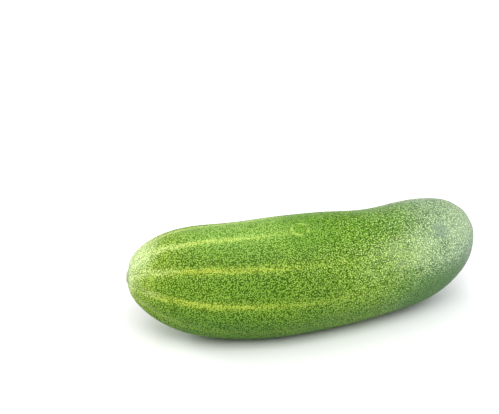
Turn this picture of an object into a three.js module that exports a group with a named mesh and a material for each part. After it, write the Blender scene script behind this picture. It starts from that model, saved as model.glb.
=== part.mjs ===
// A short, thick cucumber, picked clean of its stem and lying on its side on a flat surface.
// It is one solid: a bent, tapering body with a rounded three-sided section, ten soft ribs,
// the corky scar of the flower at one end and the scar of the stem at the other.
// Millimetres, +Z up. +X runs from the blossom end to the stem end, and both ends turn towards +Y.
// The origin is on the surface that the fruit lies on, under the middle of the fruit's box.
import * as THREE from "three";
import { mergeVertices } from "three/addons/utils/BufferGeometryUtils.js";

// Overall size, measured along the bent axis from the blossom tip to the stem tip
const LENGTH = 170;
const THICKEST_AT = 49.4;
const THICKEST_RADIUS = 26.6;

// How each half narrows from the thickest place: the share of the radius lost by its tip,
// and how blunt its end is (2 is an ellipse, higher is blunter)
const BLOSSOM_HALF = { taper: 0.166, bluntness: 2.53 };
const STEM_HALF = { taper: 0.151, bluntness: 6.74 };

// The bend of the axis, in degrees between the middle of the fruit and each tip. The sideways
// bend tightens towards the stem, which adds its extra turn there and takes it off at the blossom.
const BEND = { side: 27, stemExtra: 13.4, blossomLift: 4, stemLift: 5 };
const CHORD_TURN = -4.3; // turns the bent fruit in plan, so that its tips lie along X
const PITCH = -0.6; // settles the fruit towards its stem end, with its weight over the flat belly

// The section: three seed chambers round it slightly, and ten veins raise ten soft ribs
const CHAMBERS = { count: 3, share: 0.01, turn: 0.6 };
const RIBS = { count: 10, height: 0.2, seamDepth: 0.4, seamReach: 24, fade: 8 };

// Slow unevenness along the body, as waves: height, length along the fruit, turns round it, start
const SWELLS = [
  { height: 0.62, wave: 76, turns: 0, start: 1.59 },
  { height: 0.75, wave: 91, turns: 1, start: 0.63 },
  { height: 0.12, wave: 38, turns: 2, start: 2.1 },
];

// The scars, in millimetres from each tip: a shallow hollow, and in it a raised ring round a pit
const BLOSSOM_SCAR = { hollowRadius: 5.5, hollowDepth: 0.9, ringRadius: 1.6, ringWidth: 0.9, ringHeight: 0.9 };
const STEM_SCAR = { hollowRadius: 8, hollowDepth: 2, ringRadius: 3.6, ringWidth: 1.5, ringHeight: 1.6 };

// The belly is pressed flat where the fruit lay
const FLAT_DEPTH = 1.1;

// Faces round the fruit, which ten ribs share evenly, and along it, closer together at the scars
const FACES_ROUND = 60;
const FACES_ALONG = 76;
const TIP_CROWDING = 0.45;

const SKIN_COLOUR = 0x6f9f3a;

const radians = THREE.MathUtils.degToRad;
const bump = (distance, width) => Math.exp(-((distance / width) ** 2));

// Radius of the plain body at a distance along the axis.
function bodyRadius(along) {
  const half = along < THICKEST_AT ? BLOSSOM_HALF : STEM_HALF;
  const halfLength = along < THICKEST_AT ? THICKEST_AT : LENGTH - THICKEST_AT;
  const share = Math.min(1, Math.abs(along - THICKEST_AT) / halfLength);
  const tapered = THICKEST_RADIUS * (1 - half.taper * share ** 2);
  return tapered * Math.sqrt(1 - share ** half.bluntness);
}

// Height of ribs, chambers and swells over the plain body. The ribs die out on the stem half,
// and turn into narrow seams that run into the blossom scar.
function relief(along, round, radius) {
  const chambers = radius * CHAMBERS.share * Math.cos(CHAMBERS.count * (round - CHAMBERS.turn));
  const ribs = RIBS.height * -Math.cos(RIBS.count * round) * (1 - 0.6 * (along / LENGTH));
  const seams = -RIBS.seamDepth * Math.abs(Math.cos((RIBS.count / 2) * round)) ** 8 * bump(along, RIBS.seamReach);
  const swells = SWELLS.reduce(
    (sum, s) => sum + s.height * Math.sin((2 * Math.PI * along) / s.wave + s.turns * round + s.start),
    0,
  );
  return chambers + (ribs + seams + swells) * (1 - bump(radius, RIBS.fade));
}

// How far a scar moves the skin out along the axis, at a distance from its tip.
function scarHeight(scar, radius) {
  const hollow = -scar.hollowDepth * bump(radius, scar.hollowRadius);
  return hollow + scar.ringHeight * bump(radius - scar.ringRadius, scar.ringWidth);
}

// Headings of the axis at a distance along it: sideways in plan, and upwards.
function axisHeading(along) {
  const share = along / (LENGTH / 2) - 1;
  const side = BEND.side * share + BEND.stemExtra * share ** 2;
  const lift = share < 0 ? BEND.blossomLift : BEND.stemLift;
  return { side: radians(side + CHORD_TURN), lift: radians(lift * share + PITCH) };
}

function axisDirection(along) {
  const { side, lift } = axisHeading(along);
  return new THREE.Vector3(Math.cos(side) * Math.cos(lift), Math.sin(side) * Math.cos(lift), Math.sin(lift));
}

// Stations along the fruit, close together at the round tips, each with its place and directions.
function axisStations() {
  const stations = [];
  const place = new THREE.Vector3();
  let last = 0;
  for (let i = 0; i <= FACES_ALONG; i++) {
    const turn = (Math.PI * i) / FACES_ALONG;
    const along = (LENGTH / 2) * (1 - Math.cos(turn - (TIP_CROWDING / 2) * Math.sin(2 * turn)));
    place.addScaledVector(axisDirection((along + last) / 2), along - last);
    const forward = axisDirection(along);
    const { side } = axisHeading(along);
    const across = new THREE.Vector3(-Math.sin(side), Math.cos(side), 0);
    const up = new THREE.Vector3().crossVectors(forward, across);
    stations.push({ along, place: place.clone(), forward, across, up });
    last = along;
  }
  return stations;
}

// One point of the skin, from its station and its angle round the fruit.
function skinPoint({ along, place, forward, across, up }, round) {
  const plain = bodyRadius(along);
  const radius = plain > 0 ? plain + relief(along, round, plain) : 0;
  const pushed = along < LENGTH / 2 ? -scarHeight(BLOSSOM_SCAR, plain) : scarHeight(STEM_SCAR, plain);
  return place
    .clone()
    .addScaledVector(across, radius * Math.cos(round))
    .addScaledVector(up, radius * Math.sin(round))
    .addScaledVector(forward, pushed);
}

// A sphere's grid of faces, each of its points moved to its place on the skin.
function skinGeometry() {
  const sphere = new THREE.SphereGeometry(1, FACES_ROUND, FACES_ALONG);
  const stations = axisStations();
  const { position, uv } = sphere.attributes;
  for (let i = 0; i < position.count; i++) {
    const station = stations[Math.round(uv.getY(i) * FACES_ALONG)];
    const point = skinPoint(station, 2 * Math.PI * uv.getX(i));
    position.setXYZ(i, point.x, point.y, point.z);
  }
  sphere.deleteAttribute("normal");
  sphere.deleteAttribute("uv");
  return mergeVertices(sphere, 1e-3);
}

// Presses the lowest skin up to one level, and sets that level and the box's middle at the origin.
function layDown(geometry) {
  const { position } = geometry.attributes;
  geometry.computeBoundingBox();
  const floor = geometry.boundingBox.min.z + FLAT_DEPTH;
  for (let i = 0; i < position.count; i++) position.setZ(i, Math.max(floor, position.getZ(i)));
  const middle = geometry.boundingBox.getCenter(new THREE.Vector3());
  geometry.translate(-middle.x, -middle.y, -floor);
  geometry.computeVertexNormals();
  return geometry;
}

const skin = new THREE.MeshStandardMaterial({ color: SKIN_COLOUR, roughness: 0.42, metalness: 0 });
const fruit = new THREE.Mesh(layDown(skinGeometry()), skin);
fruit.name = "cucumber";

const cucumber = new THREE.Group();
cucumber.add(fruit);

export default cucumber;
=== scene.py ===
"""A short, thick, pale-striped cucumber on a plain white surface.

The skin is shaped from a ball, ring by ring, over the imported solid, and takes the solid's place.
Lengths of the fruit are named in millimetres, as in the part's source, and made metres once.
"""

import math

import bmesh
import bpy
import numpy as np
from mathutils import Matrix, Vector


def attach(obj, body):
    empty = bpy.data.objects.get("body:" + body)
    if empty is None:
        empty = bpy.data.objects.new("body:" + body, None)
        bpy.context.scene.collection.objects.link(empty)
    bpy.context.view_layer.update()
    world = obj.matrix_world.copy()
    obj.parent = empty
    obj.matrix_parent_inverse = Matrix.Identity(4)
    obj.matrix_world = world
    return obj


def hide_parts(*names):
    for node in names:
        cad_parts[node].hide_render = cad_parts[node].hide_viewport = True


MM = 0.001

# The fruit, as in the part's source, and the place where its axis starts at the blossom end
LENGTH = 170
THICKEST_AT = 49.4
THICKEST_RADIUS = 26.6
BLOSSOM_TAPER, BLOSSOM_BLUNTNESS = 0.166, 2.53
STEM_TAPER, STEM_BLUNTNESS = 0.151, 6.74
SIDE_BEND, STEM_EXTRA = 27, 13.4
BLOSSOM_LIFT, STEM_LIFT = 4, 5
CHORD_TURN, PITCH = -4.3, -0.6
FRUIT_START = (-82.546, 15.653, 29.39)
CHAMBER_COUNT, CHAMBER_SHARE, CHAMBER_TURN = 3, 0.01, 0.6
RIB_COUNT, RIB_HEIGHT = 10, 0.2
RIB_LOSS, RIB_FADE = 0.6, 8
SEAM_DEPTH, SEAM_REACH = 0.4, 24

# Slow unevenness along the body, as waves: height, length along the fruit, turns round it, start
SWELLS = ((0.62, 76, 0, 1.59), (0.75, 91, 1, 0.63), (0.12, 38, 2, 2.1))

# Scars: radius and depth of the hollow, radius, width and height of the ring in it
BLOSSOM_SCAR = (5.5, 0.9, 1.6, 0.9, 0.9)
STEM_SCAR = (8, 2, 3.6, 1.5, 1.6)

# The skin's mesh: faces of its cage round and along the fruit, closer together at the tips,
# and how many times each of them is then divided
CAGE_ROUND = 60
CAGE_ALONG = 92
TIP_CROWDING = 0.3
SKIN_LEVELS = 2

# What the skin adds to the solid: seams that start gently round the blossom scar, creases of veins
# that fade along the fruit, and a low grain. Each pair of radii is where a form starts and is whole.
SEAM_START = (4, 18)
CREASE_START = (1.5, 4)
CREASE_FADE = (22, 8)
CREASE_DEPTH, CREASE_WIDTH = 0.08, 0.5
GRAIN_HEIGHT, GRAIN_SIZE = 0.09, 1.9

# Marks on the skin: two sizes of spots, and the places of two marks along, across and up in the fruit
FRECKLE_SIZE = 0.64
DOT_SIZE = 0.92
SCUFF_PLACE = (76, -6.4, 25.6)
SMUDGE_PLACE = (139, -16.8, 15.5)

# Sizes of the skin's slow and fine unevenness in colour, and the height of its finest bumps
DRIFT_SIZE = 30
PATCH_SIZE = 13
MOTTLE_SIZE = 3.2
FINE_SIZE = 0.5
STRAND_LENGTH, STRAND_WIDTH = 16, 1.6
BUMP_HEIGHT = 0.12

# The surface it lies on, a little below the flat belly, in metres
FLOOR_SIZE = 12
FLOOR_DROP = 0.0001

# The even light from all round
ROOM_LIGHT = 0.6

# The camera, as fitted to the outline in the photograph
CAMERA_PLACE = (-0.27623, -0.65011, 0.40218)
CAMERA_AIM = (0.31869, 0.8399, -0.43932)
IMAGE_WIDTH = 499
FOCAL_PIXELS = 1759.9
SENSOR_WIDTH = 36

# Sockets of a Mix node that carry its two colours and its result
FIRST_COLOUR, SECOND_COLOUR, MIXED_COLOUR = 6, 7, 2


def deselect_all():
    bpy.ops.object.select_all(action="DESELECT")


def smooth_step(low, high, value):
    share = np.clip((value - low) / (high - low), 0, 1)
    return share * share * (3 - 2 * share)


def bump(distance, width):
    return np.exp(-((distance / width) ** 2))


# The bent axis and the plain body round it

def body_radius(along):
    """Radius of the plain body, at distances along the axis."""
    blossom = along < THICKEST_AT
    half = np.where(blossom, THICKEST_AT, LENGTH - THICKEST_AT)
    taper = np.where(blossom, BLOSSOM_TAPER, STEM_TAPER)
    bluntness = np.where(blossom, BLOSSOM_BLUNTNESS, STEM_BLUNTNESS)
    share = np.minimum(1, np.abs(along - THICKEST_AT) / half)
    return THICKEST_RADIUS * (1 - taper * share**2) * np.sqrt(1 - share**bluntness)


def headings(along):
    """Sideways and upward headings of the axis, in radians."""
    share = along / (LENGTH / 2) - 1
    side = SIDE_BEND * share + STEM_EXTRA * share**2 + CHORD_TURN
    lift = np.where(share < 0, BLOSSOM_LIFT, STEM_LIFT) * share + PITCH
    return np.radians(side), np.radians(lift)


def directions(along):
    """The axis's own directions: forward, across and up."""
    side, lift = headings(along)
    level = np.zeros_like(side)
    forward = np.stack([np.cos(side) * np.cos(lift), np.sin(side) * np.cos(lift), np.sin(lift)], -1)
    across = np.stack([-np.sin(side), np.cos(side), level], -1)
    return forward, across, np.cross(forward, across)


def axis_places(along):
    """Places on the axis, in millimetres in the part's frame, for distances that start at 0."""
    middles = (along[1:] + along[:-1]) / 2
    steps = directions(middles)[0] * np.diff(along)[:, None]
    return np.vstack([FRUIT_START, FRUIT_START + np.cumsum(steps, axis=0)])


def scar_height(scar, radius):
    """How far a scar moves the skin out along the axis."""
    hollow_radius, hollow_depth, ring_radius, ring_width, ring_height = scar
    hollow = -hollow_depth * bump(radius, hollow_radius)
    return hollow + ring_height * bump(radius - ring_radius, ring_width)


# The skin

def add_ball():
    """A ball with its poles along X, whose rings become the rings of the fruit."""
    deselect_all()
    bpy.ops.mesh.primitive_uv_sphere_add(
        segments=CAGE_ROUND, ring_count=CAGE_ALONG, radius=1, rotation=(0, -math.pi / 2, 0)
    )
    ball = bpy.context.object
    ball.name = ball.data.name = "cucumber_skin"
    bpy.ops.object.transform_apply(location=True, rotation=True, scale=True)
    return ball


def rings_by_place(cage):
    """The cage's vertices in rings, from the blossom end to the stem end."""
    rings = {}
    for vertex in cage.verts:
        rings.setdefault(round(vertex.co.x, 5), []).append(vertex)
    return [rings[place] for place in sorted(rings)]


def select_only(cage, vertices):
    bpy.ops.mesh.select_all(action="DESELECT")
    for vertex in vertices:
        vertex.select = True
    cage.select_flush_mode()


def lay_rings_along_axis(skin):
    """Sizes, turns and moves each ring of the ball to its place on the bent axis."""
    turn = math.pi * np.arange(CAGE_ALONG + 1) / CAGE_ALONG
    along = LENGTH / 2 * (1 - np.cos(turn - TIP_CROWDING / 2 * np.sin(2 * turn)))
    radii = body_radius(along)
    side, lift = headings(along)
    forward, _, _ = directions(along)
    ends = np.where(along < LENGTH / 2, -scar_height(BLOSSOM_SCAR, radii), scar_height(STEM_SCAR, radii))
    places = axis_places(along) + forward * ends[:, None]
    bpy.ops.object.mode_set(mode="EDIT")
    cage = bmesh.from_edit_mesh(skin.data)
    for i, ring in enumerate(rings_by_place(cage)):
        start = Vector((ring[0].co.x, 0, 0))
        width = math.hypot(ring[0].co.y, ring[0].co.z)
        select_only(cage, ring)
        if len(ring) > 1:
            size = radii[i] * MM / width
            bpy.ops.transform.resize(value=(1, size, size), center_override=start)
            bpy.ops.transform.rotate(value=float(lift[i]), orient_axis="Y", center_override=start)
            bpy.ops.transform.rotate(value=float(-side[i]), orient_axis="Z", center_override=start)
        bpy.ops.transform.translate(value=Vector(places[i] * MM) - start)
    bpy.ops.object.mode_set(mode="OBJECT")


def points_of(skin):
    points = np.empty(len(skin.data.vertices) * 3, np.float32)
    skin.data.vertices.foreach_get("co", points)
    return points.reshape(-1, 3).astype(float)


def straightened(skin):
    """Each point of the skin in the fruit made straight: along, across and up, in millimetres.

    A point is measured from the nearest of the places on the axis, a quarter of a millimetre apart.
    The points are taken in blocks, to save memory.
    """
    along = np.linspace(0, LENGTH, 4 * LENGTH + 1)
    places = axis_places(along)
    forward, across, up = directions(along)
    points = points_of(skin) / MM
    nearest = np.concatenate([
        np.argmin(((block[:, None] - places[None]) ** 2).sum(-1), axis=1)
        for block in np.array_split(points, 64)
    ])
    away = points - places[nearest]
    return np.stack([
        along[nearest] + (away * forward[nearest]).sum(-1),
        (away * across[nearest]).sum(-1),
        (away * up[nearest]).sum(-1),
    ], -1)


def raise_skin(skin, name, heights):
    """Moves the skin out or in along its normals, by heights in millimetres, one for each vertex."""
    skin.vertex_groups.new(name=name)
    for side in (1, -1):
        shares = np.maximum(side * heights, 0)
        if shares.max() == 0:
            continue
        for index, share in enumerate(shares / shares.max()):
            skin.vertex_groups[name].add((index,), float(share), "REPLACE")
        push = skin.modifiers.new(name, "DISPLACE")
        push.vertex_group = name
        push.mid_level = 0
        push.strength = float(side * shares.max()) * MM
        bpy.ops.object.modifier_apply(modifier=name)
    skin.vertex_groups.remove(skin.vertex_groups[name])


def round_the_axis(straight):
    """Distances along the fruit, distances from its axis and angles round it."""
    along, across, up = straight.T
    return along, np.hypot(across, up), np.arctan2(up, across)


def relief(straight):
    """Heights of chambers, ribs, seams and swells over the plain body."""
    along, radius, turn = round_the_axis(straight)
    chambers = radius * CHAMBER_SHARE * np.cos(CHAMBER_COUNT * (turn - CHAMBER_TURN))
    ribs = -RIB_HEIGHT * np.cos(RIB_COUNT * turn) * (1 - RIB_LOSS * along / LENGTH)
    seams = -SEAM_DEPTH * np.abs(np.cos(RIB_COUNT / 2 * turn)) ** 8 * bump(along, SEAM_REACH)
    seams = seams * smooth_step(*SEAM_START, radius)
    swells = sum(
        height * np.sin(2 * math.pi * along / wave + turns * turn + start)
        for height, wave, turns, start in SWELLS
    )
    return chambers + (ribs + seams + swells) * (1 - bump(radius, RIB_FADE))


def creases(straight):
    """Depths of the fine veins that run out of the blossom scar, one on each seam."""
    along, radius, turn = round_the_axis(straight)
    beside = radius * np.sin(RIB_COUNT / 2 * turn) / (RIB_COUNT / 2)
    reach = smooth_step(*CREASE_FADE, along) * smooth_step(*CREASE_START, radius)
    return -CREASE_DEPTH * bump(beside, CREASE_WIDTH) * reach


def add_grain(skin):
    """Gives the whole skin a very low grain."""
    grain = bpy.data.textures.new("skin_grain", "VORONOI")
    grain.noise_scale = GRAIN_SIZE * MM
    grain.distance_metric = "DISTANCE"
    push = skin.modifiers.new("grain", "DISPLACE")
    push.texture = grain
    push.texture_coords = "LOCAL"
    push.mid_level = 0.5
    push.strength = -GRAIN_HEIGHT * MM
    bpy.ops.object.modifier_apply(modifier="grain")


def press_belly(skin):
    """Flattens what lies under the surface, where the fruit's weight rests."""
    bpy.ops.object.mode_set(mode="EDIT")
    cage = bmesh.from_edit_mesh(skin.data)
    select_only(cage, [vertex for vertex in cage.verts if vertex.co.z < 0])
    bpy.ops.transform.resize(value=(1, 1, 0), center_override=(0, 0, 0))
    bpy.ops.mesh.select_all(action="DESELECT")
    bpy.ops.object.mode_set(mode="OBJECT")


def add_skin():
    skin = add_ball()
    lay_rings_along_axis(skin)
    smooth = skin.modifiers.new("smooth", "SUBSURF")
    smooth.levels = smooth.render_levels = SKIN_LEVELS
    bpy.ops.object.modifier_apply(modifier="smooth")
    straight = straightened(skin)
    raise_skin(skin, "relief", relief(straight))
    raise_skin(skin, "creases", creases(straight))
    add_grain(skin)
    press_belly(skin)
    bpy.ops.object.shade_smooth()
    place = skin.data.attributes.new("straight", "FLOAT_VECTOR", "POINT")
    place.data.foreach_set("vector", straight.astype(np.float32).ravel())
    return skin


# Nodes and colours that the materials are made of

class Signal:
    """One socket of a material's nodes. Arithmetic on it adds Math nodes."""

    def __init__(self, tree, socket=None):
        self.tree = tree
        self.socket = socket

    def node(self, kind, settings=None, sockets=None, output=0):
        """Adds a node: its settings are set first, then its sockets get values or links."""
        node = self.tree.nodes.new("ShaderNode" + kind)
        for name, value in (settings or {}).items():
            setattr(node, name, value)
        for name, value in (sockets or {}).items():
            if isinstance(value, Signal):
                self.tree.links.new(value.socket, node.inputs[name])
            else:
                node.inputs[name].default_value = value
        return Signal(self.tree, node.outputs[output]) if node.outputs else Signal(self.tree)

    def math(self, operation, *values, clamp=False):
        sockets = dict(enumerate(values))
        return self.node("Math", {"operation": operation, "use_clamp": clamp}, sockets)

    def __add__(self, other):
        return self.math("ADD", self, other)

    __radd__ = __add__

    def __sub__(self, other):
        return self.math("SUBTRACT", self, other)

    def __rsub__(self, other):
        return self.math("SUBTRACT", other, self)

    def __mul__(self, other):
        return self.math("MULTIPLY", self, other)

    __rmul__ = __mul__

    def __truediv__(self, other):
        return self.math("DIVIDE", self, other)

    def step(self, low, high, to_low=0, to_high=1):
        """A smooth step of this value from low to high."""
        settings = {"interpolation_type": "SMOOTHSTEP", "clamp": True}
        ends = {"Value": self, "From Min": low, "From Max": high, "To Min": to_low, "To Max": to_high}
        return self.node("MapRange", settings, ends)

    def mix(self, first, second):
        """A colour between two colours, by this value."""
        sockets = {"Factor": self, FIRST_COLOUR: first, SECOND_COLOUR: second}
        return self.node("Mix", {"data_type": "RGBA"}, sockets, output=MIXED_COLOUR)


def colour(red, green, blue):
    """A colour that is named in 8-bit screen values, as the linear values that a shader takes."""
    return (*[
        channel / 12.92 if channel <= 0.04045 else ((channel + 0.055) / 1.055) ** 2.4
        for channel in (red / 255, green / 255, blue / 255)
    ], 1)


def laid_over(base, *layers):
    """Colours laid over a base, one after another, each by its share."""
    for share, layer in layers:
        base = share.mix(base, layer)
    return base


def new_material(name):
    material = bpy.data.materials.new(name)
    material.use_nodes = True
    material.node_tree.nodes.clear()
    return material, Signal(material.node_tree)


def finish_material(start, shader_inputs):
    shader = start.node("BsdfPrincipled", None, shader_inputs)
    start.node("OutputMaterial", None, {"Surface": shader})


# The skin's material

class SkinPattern:
    """Where a point lies in the fruit made straight, and the shares there of the skin's zones, painted
    light and shade among them.

    Steps of a place or a distance are in millimetres, and steps of noise are in shares.
    """

    def __init__(self, start):
        self.start = start
        self.find_place()
        self.add_unevenness()
        self.add_ends()
        self.add_sides()
        self.add_stripes()
        self.add_freckles()
        self.add_back()
        self.add_scar_shapes()

    def noise(self, size, detail):
        sockets = {"Vector": self.place, "Scale": 1 / (size * MM), "Detail": detail}
        return self.start.node("TexNoise", None, sockets)

    def streaks(self, length, width):
        """Noise drawn out along the fruit."""
        sides = {"X": self.along * (width / length), "Y": self.across, "Z": self.up}
        drawn_out = self.start.node("CombineXYZ", None, sides)
        return self.start.node("TexNoise", None, {"Vector": drawn_out, "Scale": 1 / width, "Detail": 2})

    def cells(self, size, randomness):
        """Distances from the middles of small cells, as shares of their size."""
        sockets = {"Vector": self.place, "Scale": 1 / (size * MM), "Randomness": randomness}
        return self.start.node("TexVoronoi", {"feature": "F1"}, sockets)

    def distance_from(self, place):
        sides = [here - there for here, there in zip((self.along, self.across, self.up), place)]
        return self.start.math("SQRT", sum(side * side for side in sides))

    def find_place(self):
        self.place = self.start.node("TexCoord", output="Object")
        straight = self.start.node("Attribute", {"attribute_name": "straight"}, output="Vector")
        parts = self.start.node("SeparateXYZ", None, {"Vector": straight}).socket.node
        self.along, self.across, self.up = (Signal(self.start.tree, parts.outputs[name]) for name in "XYZ")
        self.turn = self.start.math("ARCTAN2", self.up, self.across)
        self.radius = self.start.math("SQRT", self.across * self.across + self.up * self.up)

    def add_unevenness(self):
        self.drift = self.noise(DRIFT_SIZE, 1)
        self.patches = self.noise(PATCH_SIZE, 3)
        self.mottle = self.noise(MOTTLE_SIZE, 2)
        self.fine = self.noise(FINE_SIZE, 1)
        self.strands = self.streaks(STRAND_LENGTH, STRAND_WIDTH)
        self.uneven_along = self.along + (self.drift - 0.5) * 40 + (self.patches - 0.5) * 20

    def add_ends(self):
        """The pale blossom end, partly a painted sheen on its upper side, with its golden edge, the stem
        end, and the smooth skin near the stem.
        """
        from_tip = self.along - self.up * 0.55
        # The pale blossom end is partly its own colour and partly a painted sheen, reaching further along
        # on the upper side.
        self.blossom_pale_and_sheen = from_tip.step(6.5, -0.5)
        self.golden_end = from_tip.step(19, 4)
        self.stripe_tip = from_tip.step(18, 7)
        self.stem_end = self.uneven_along.step(104, 154)
        lower_flank = (self.up + (self.patches - 0.5) * 10).step(6, -6)
        smooth_flank = self.uneven_along.step(118, 146) * lower_flank * 0.85
        self.smooth_skin = self.start.math("MAXIMUM", smooth_flank, self.along.step(156, 166))

    def add_sides(self):
        self.upper_side = self.up.step(-16, 14)
        # Painted shade: the lower side is darkened in the skin's colours, over more of it towards the stem
        # end.
        self.painted_low_shade = (self.up - self.along.step(90, 125) * 5).step(3, -15) * self.along.step(2, 34)

    def add_stripes(self):
        """One pale band on each seam, from the blossom end to past the middle."""
        wander = (self.drift - 0.5) * 0.35
        seam_wave = self.start.math("SINE", self.turn * (RIB_COUNT / 2) + wander)
        self.from_seam = self.radius * seam_wave / (RIB_COUNT / 2)
        band = self.start.math("EXPONENT", self.from_seam * self.from_seam * -0.36)
        fade = self.along.step(86, 34) * 0.75 + self.along.step(130, 80) * 0.25
        reach = self.along.step(2, 9) * fade * (1 - 0.75 * self.up.step(-6, -14))
        broken = 0.42 + 0.9 * self.strands.step(0.25, 0.7)
        self.stripes = self.start.math("MULTIPLY", band * reach, broken, clamp=True)

    def add_freckles(self):
        """Small pale spots, close together over the body, and fainter on the smooth skin."""
        spot_edge = 0.45 - 0.03 * self.stem_end + 0.08 * self.stripes + (self.mottle - 0.5) * 0.07
        spots = 1 - (self.cells(FRECKLE_SIZE, 0.8) - spot_edge).step(-0.12, 0.12)
        strength = (0.45 + 1.1 * self.fine) * (1 - 0.7 * self.smooth_skin)
        self.freckles = self.start.math("MULTIPLY", spots, strength, clamp=True)

    def add_back(self):
        """Painted light on the top of the blossom half, and painted shade, a deeper green, on the top
        behind it.
        """
        # Painted light: the top of the blossom half is paler.
        self.painted_top_light = self.up.step(17, 27) * self.along.step(104, 64) * (0.45 + 0.1 * self.stripes)
        # Painted shade: the top behind it is a deeper green.
        self.painted_back_shade = self.along.step(56, 84) * self.stem_end.step(0.9, 0) * self.up.step(18, 24) * 0.6

    def add_scar_shapes(self):
        self.scar_radius = self.radius + (self.mottle - 0.5) * 1.8 + (self.fine - 0.5) * 0.7
        self.stem_disc = self.scar_radius.step(4.9, 4.3) * self.along.step(150, 160)


def ground_colour(at):
    """The deeper green between the freckles, with painted shade low down and on the top of the middle,
    painted light on the top of the blossom half, and a painted sheen at the blossom tip.
    """
    return laid_over(
        at.drift.step(0.35, 0.65).mix(colour(50, 82, 0), colour(62, 94, 0)),
        (at.golden_end * 0.4, colour(112, 138, 30)),
        (at.blossom_pale_and_sheen, colour(130, 158, 78)),
        (at.stem_end, colour(56, 94, 48)),
        (at.painted_low_shade * (0.6 + 0.3 * at.stem_end), at.stem_end.mix(colour(28, 68, 4), colour(42, 82, 36))),
        (at.stripes * 0.6, at.stripe_tip.mix(colour(134, 150, 34), colour(156, 176, 84))),
        (at.painted_top_light, at.stripes.mix(colour(114, 158, 60), colour(150, 184, 84))),
        (at.painted_back_shade, colour(46, 96, 0)),
    )


def freckle_colour(at):
    # The pale spots, with the same painted shade, painted light and painted sheen as the ground.
    return laid_over(
        at.patches.step(0.35, 0.65).mix(colour(128, 169, 62), colour(139, 177, 68)),
        (at.golden_end * 0.4, colour(200, 222, 96)),
        (at.blossom_pale_and_sheen, colour(212, 232, 148)),
        (at.stem_end, colour(162, 192, 138)),
        (at.painted_low_shade * 0.55, colour(98, 148, 58)),
        (at.stripes * 0.7, at.stripe_tip.mix(colour(186, 206, 84), colour(216, 238, 150))),
        (at.painted_top_light, at.stripes.mix(colour(186, 228, 124), colour(208, 240, 138))),
        (at.painted_back_shade, colour(112, 166, 40)),
    )


def stem_half(at, skin_colour):
    """A hazy end, partly a waxy bloom and partly a painted reflection, a painted sheen on the upper side,
    and painted shade low on the front, with sparse bright dots over them.
    """
    # Partly a waxy bloom and partly a painted reflection at the stem end.
    bloom_and_painted_reflection = at.along.step(118, 152) * at.up.step(-26, 8) * (1 - 0.5 * at.up.step(13, 20))
    # A painted sheen on the upper front side of the stem half.
    painted_side_sheen = at.along.step(90, 122) * at.up.step(2, 9) * at.up.step(22, 14) * at.patches.step(0.25, 0.6)
    # Painted shade: a darker green low on the front of the stem half.
    flank_shade_along = at.along + (at.patches - 0.5) * 14
    flank_shade_length = flank_shade_along.step(110, 128) * flank_shade_along.step(151, 142)
    painted_flank_shade = flank_shade_length * at.up.step(5, -6) * at.across.step(4, -14)
    dotted = at.along.step(64, 104) * (1 - 0.7 * at.smooth_skin)
    dots = at.cells(DOT_SIZE, 1).step(0.36, 0.22) * dotted * (0.65 + 0.35 * at.upper_side)
    dot_share = dots * (0.75 + 0.15 * at.stem_end) * (1 - 0.5 * painted_flank_shade)
    return laid_over(
        skin_colour,
        (bloom_and_painted_reflection * 0.15, colour(206, 216, 214)),
        (painted_side_sheen * 0.2, colour(204, 224, 166)),
        (painted_flank_shade * 0.5, colour(66, 108, 44)),
        (dot_share, at.stem_end.mix(colour(206, 230, 132), colour(222, 242, 188))),
    )


def old_scuff(at, skin_colour):
    """A fine pale ring on the back of the fruit, a little greener inside."""
    from_scuff = at.distance_from(SCUFF_PLACE) + (at.mottle - 0.5) * 1.6
    ring = from_scuff.step(2.9, 3.6) * from_scuff.step(4.8, 3.9) * at.mottle.step(0.36, 0.6)
    return laid_over(
        skin_colour,
        (from_scuff.step(3.6, 2.4) * 0.3, colour(96, 138, 24)),
        (ring * 0.58, colour(176, 204, 96)),
    )


def grey_smudge(at, skin_colour):
    """A soft grey spot near the stem end."""
    from_smudge = at.distance_from(SMUDGE_PLACE) + (at.mottle - 0.5) * 6
    return laid_over(skin_colour, (from_smudge.step(6, 1.5) * 0.55, colour(96, 122, 104)))


def blossom_veins(at, skin_colour):
    """A pale tip, partly a painted rim highlight, ochre lines in the stripes, and dark veins that run out
    of the blossom scar.
    """
    line = at.start.math("EXPONENT", at.from_seam * at.from_seam * -9)
    # The pale tip is partly its own colour and partly a painted highlight on the rim round the blossom
    # scar.
    tip = (at.along + (at.mottle - 0.5) * 2).step(5, 0)
    ochre = line * at.along.step(8, 16) * at.along.step(60, 30) * at.strands.step(0.4, 0.62) * at.upper_side
    veins = line * at.along.step(24, 6) * at.radius.step(1.5, 4) * at.strands.step(0.3, 0.5)
    return laid_over(
        skin_colour,
        (tip * 0.4, colour(228, 244, 166)),
        (ochre * 0.45, colour(146, 132, 40)),
        (veins * 0.5, colour(66, 92, 20)),
    )


def blossom_scar(at, skin_colour):
    """A dark green star round a brown ring, with a darker pit in it."""
    blossom_side = 1 - at.along.step(10, 20)
    star = (at.radius + (at.mottle - 0.5) * 5).step(8, 3.4) * blossom_side
    ring = at.scar_radius.step(2.8, 2) * blossom_side
    pit = at.scar_radius.step(1.4, 0.8) * blossom_side
    return laid_over(
        skin_colour,
        (star * 0.6, colour(74, 112, 34)),
        (ring * 0.85, at.fine.step(0.35, 0.65).mix(colour(132, 120, 70), colour(172, 166, 112))),
        (pit * 0.9, colour(82, 66, 42)),
    )


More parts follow.
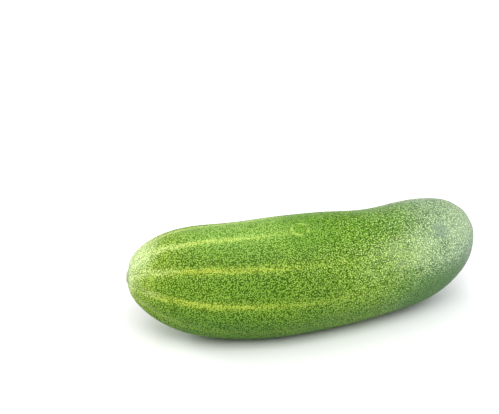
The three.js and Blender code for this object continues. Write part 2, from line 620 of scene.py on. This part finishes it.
def stem_scar(at, skin_colour):
    """A small corky disc with a green core, a ring of darker vessels and a brown rim."""
    core = at.scar_radius.step(2, 1) * at.stem_disc
    vessel_wave = at.start.math("SINE", at.turn * 9 + at.mottle * 4)
    vessels = vessel_wave.step(0.1, 0.8) * at.radius.step(1.8, 2.4) * at.stem_disc
    rim = at.scar_radius.step(3.6, 4.3) * at.stem_disc
    return laid_over(
        skin_colour,
        (at.stem_disc * 0.9, at.fine.step(0.3, 0.7).mix(colour(150, 142, 88), colour(198, 190, 138))),
        (core * 0.6, colour(112, 128, 66)),
        (vessels * 0.3, colour(112, 98, 56)),
        (rim * 0.8, colour(116, 102, 60)),
    )


def skin_material():
    material, start = new_material("striped_skin")
    at = SkinPattern(start)
    skin_colour = at.freckles.mix(ground_colour(at), freckle_colour(at))
    for mark in (stem_half, old_scuff, grey_smudge, blossom_veins, blossom_scar, stem_scar):
        skin_colour = mark(at, skin_colour)
    waxy_end = at.along.step(92, 132) * at.along.step(168, 142, 0.25, 1)
    height = at.freckles * 0.6 + at.fine * 0.4
    bump_sockets = {"Height": height, "Strength": 0.7, "Distance": BUMP_HEIGHT * MM}
    finish_material(start, {
        "Base Color": skin_colour,
        "Roughness": 0.5 - 0.08 * at.freckles + 0.3 * at.stem_disc,
        "Normal": start.node("Bump", None, bump_sockets),
        "IOR": 1.33,
        "Specular IOR Level": 0.12,
        "Coat Weight": 0.05 + 0.6 * at.blossom_pale_and_sheen + 0.7 * waxy_end * at.upper_side,
        "Coat Roughness": 0.48,
    })
    return material


# The surface it lies on, the light and the camera

def floor_material():
    material, start = new_material("white_surface")
    finish_material(start, {
        "Base Color": (0.9, 0.9, 0.9, 1),
        "Roughness": 0.9,
        "Specular IOR Level": 0.1,
    })
    return material


def add_floor():
    deselect_all()
    bpy.ops.mesh.primitive_plane_add(size=FLOOR_SIZE, location=(0, 0, -FLOOR_DROP))
    floor = bpy.context.object
    floor.name = floor.data.name = "white_surface"
    floor.data.materials.append(floor_material())


def add_soft_light(name, place, target_height, size, power, tint=(1, 1, 1)):
    """A soft box that faces the middle of the fruit, at a height over the surface."""
    data = bpy.data.lights.new(name, "AREA")
    data.shape = "RECTANGLE"
    data.size, data.size_y = size
    data.energy = power
    data.color = tint
    lamp = bpy.data.objects.new(name, data)
    lamp.location = place
    facing = Vector((0, 0, target_height)) - Vector(place)
    lamp.rotation_euler = facing.to_track_quat("-Z", "Y").to_euler()
    bpy.context.scene.collection.objects.link(lamp)


def add_room_light():
    world = bpy.data.worlds.new("studio")
    world.use_nodes = True
    background = world.node_tree.nodes["Background"]
    background.inputs["Color"].default_value = (1, 1, 1, 1)
    background.inputs["Strength"].default_value = ROOM_LIGHT
    bpy.context.scene.world = world


def add_light():
    add_room_light()
    add_soft_light("overhead", (-0.1, 0.05, 1.1), target_height=0.02, size=(1.4, 1.2), power=3)
    add_soft_light("high_front", (-0.2, -0.75, 1.0), target_height=0.02, size=(1.2, 0.8), power=12)
    add_soft_light("left_box", (-0.62, 0.75, 0.36), target_height=0.03, size=(0.45, 0.36), power=5)
    add_soft_light(
        "right_box", (0.66, -0.38, 0.65),
        target_height=0.03, size=(0.4, 0.4), power=1.4, tint=(0.86, 0.94, 1),
    )


def add_camera():
    data = bpy.data.cameras.new("camera")
    data.sensor_fit = "HORIZONTAL"
    data.sensor_width = SENSOR_WIDTH
    data.lens = SENSOR_WIDTH * FOCAL_PIXELS / IMAGE_WIDTH
    data.clip_start = 0.01
    camera = bpy.data.objects.new("camera", data)
    camera.location = CAMERA_PLACE
    camera.rotation_euler = Vector(CAMERA_AIM).to_track_quat("-Z", "Y").to_euler()
    bpy.context.scene.collection.objects.link(camera)
    bpy.context.scene.camera = camera


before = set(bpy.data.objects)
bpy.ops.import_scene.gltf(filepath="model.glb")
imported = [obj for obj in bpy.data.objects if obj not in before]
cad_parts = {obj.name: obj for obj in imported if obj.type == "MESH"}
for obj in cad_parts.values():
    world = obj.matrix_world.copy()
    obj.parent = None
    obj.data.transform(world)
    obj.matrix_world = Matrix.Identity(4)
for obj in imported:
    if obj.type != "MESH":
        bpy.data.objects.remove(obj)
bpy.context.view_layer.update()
bpy.context.scene.view_settings.view_transform = "Standard"

skin = add_skin()
skin.data.materials.append(skin_material())
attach(skin, "root")
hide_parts("cucumber")

add_floor()
add_light()
add_camera()
